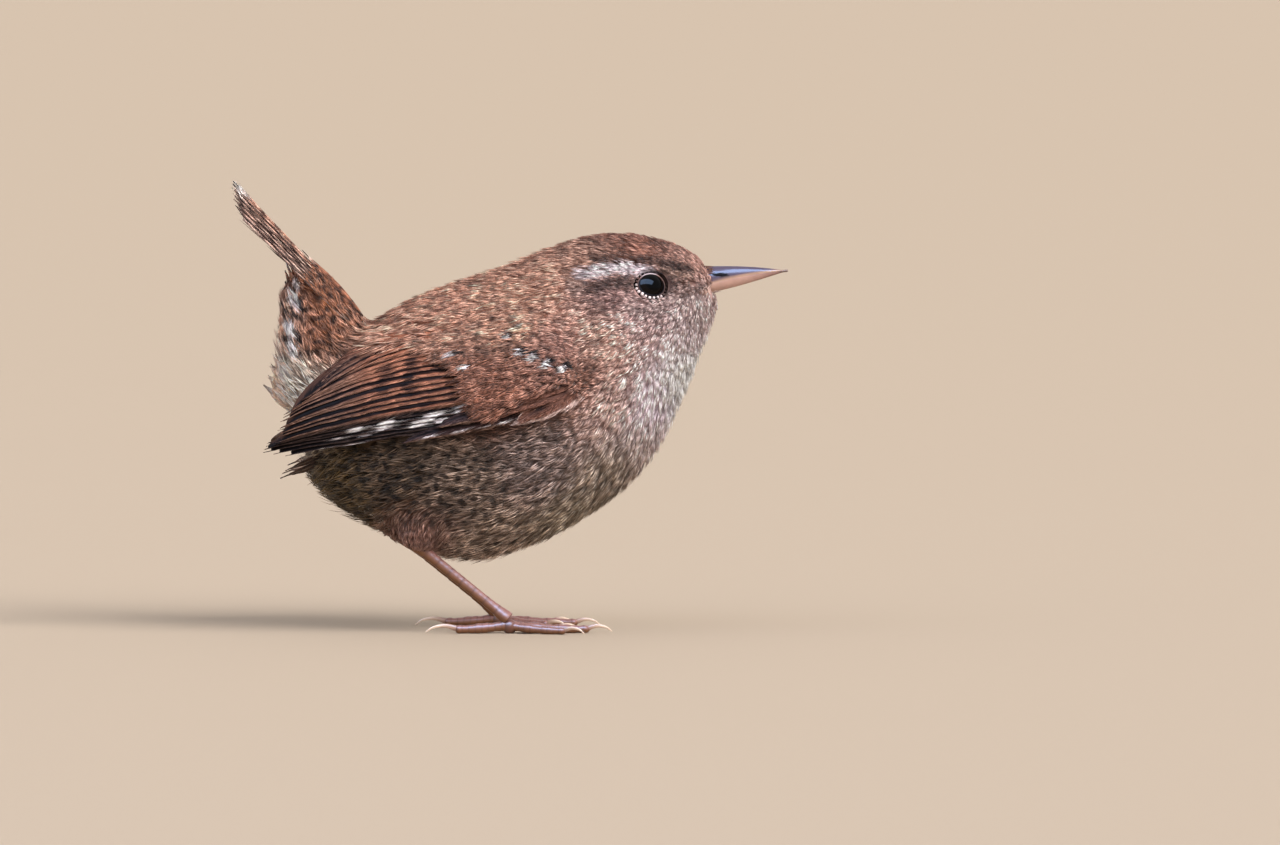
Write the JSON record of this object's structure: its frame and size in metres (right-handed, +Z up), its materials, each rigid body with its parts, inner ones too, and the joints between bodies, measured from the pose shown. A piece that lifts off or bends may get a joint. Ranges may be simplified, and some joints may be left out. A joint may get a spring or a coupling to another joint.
{
  "type": "wren",
  "caption": "Small brown songbird standing on two slim feet, with a short cocked tail, folded wings and a fine pointed bill; a still, life-size model.",
  "frame": {"origin": "on the floor, under the middle of the bird's outline", "axes": "+X to the bird's front, +Y to its left, +Z up; the floor is z = 0"},
  "size_m": [0.0821, 0.04, 0.0661],
  "materials": {
    "plumage_crown": "soft feathers, warm brown finely streaked",
    "plumage_flank": "soft feathers, grey-buff with fine dark bars",
    "plumage_wing": "firm vanes, rufous barred black-brown",
    "plumage_tail": "firm vanes, rufous-brown barred",
    "plumage_thigh": "short soft feathers",
    "bill_upper": "smooth dark horn",
    "bill_lower": "smooth pale horn",
    "eye": "wet gloss",
    "leg": "scaly skin, slight gloss",
    "claw": "translucent horn"
  },
  "bodies": {
    "root": {"head": "plumage_crown", "neck": "plumage_flank", "torso": "plumage_flank", "tail": "plumage_tail", "bill_upper": "bill_upper", "bill_lower": "bill_lower", "eye_right": "eye", "wing_right": "plumage_wing", "thigh_right": "plumage_thigh", "shank_right": "leg", "toe_inner_right": "leg", "claw_inner_right": "claw", "toe_middle_right": "leg", "claw_middle_right": "claw", "toe_outer_right": "leg", "claw_outer_right": "claw", "toe_hind_right": "leg", "claw_hind_right": "claw", "eye_left": "eye", "wing_left": "plumage_wing", "thigh_left": "plumage_thigh", "shank_left": "leg", "toe_inner_left": "leg", "claw_inner_left": "claw", "toe_middle_left": "leg", "claw_middle_left": "claw", "toe_outer_left": "leg", "claw_outer_left": "claw", "toe_hind_left": "leg", "claw_hind_left": "claw"}
  },
  "joints": []
}
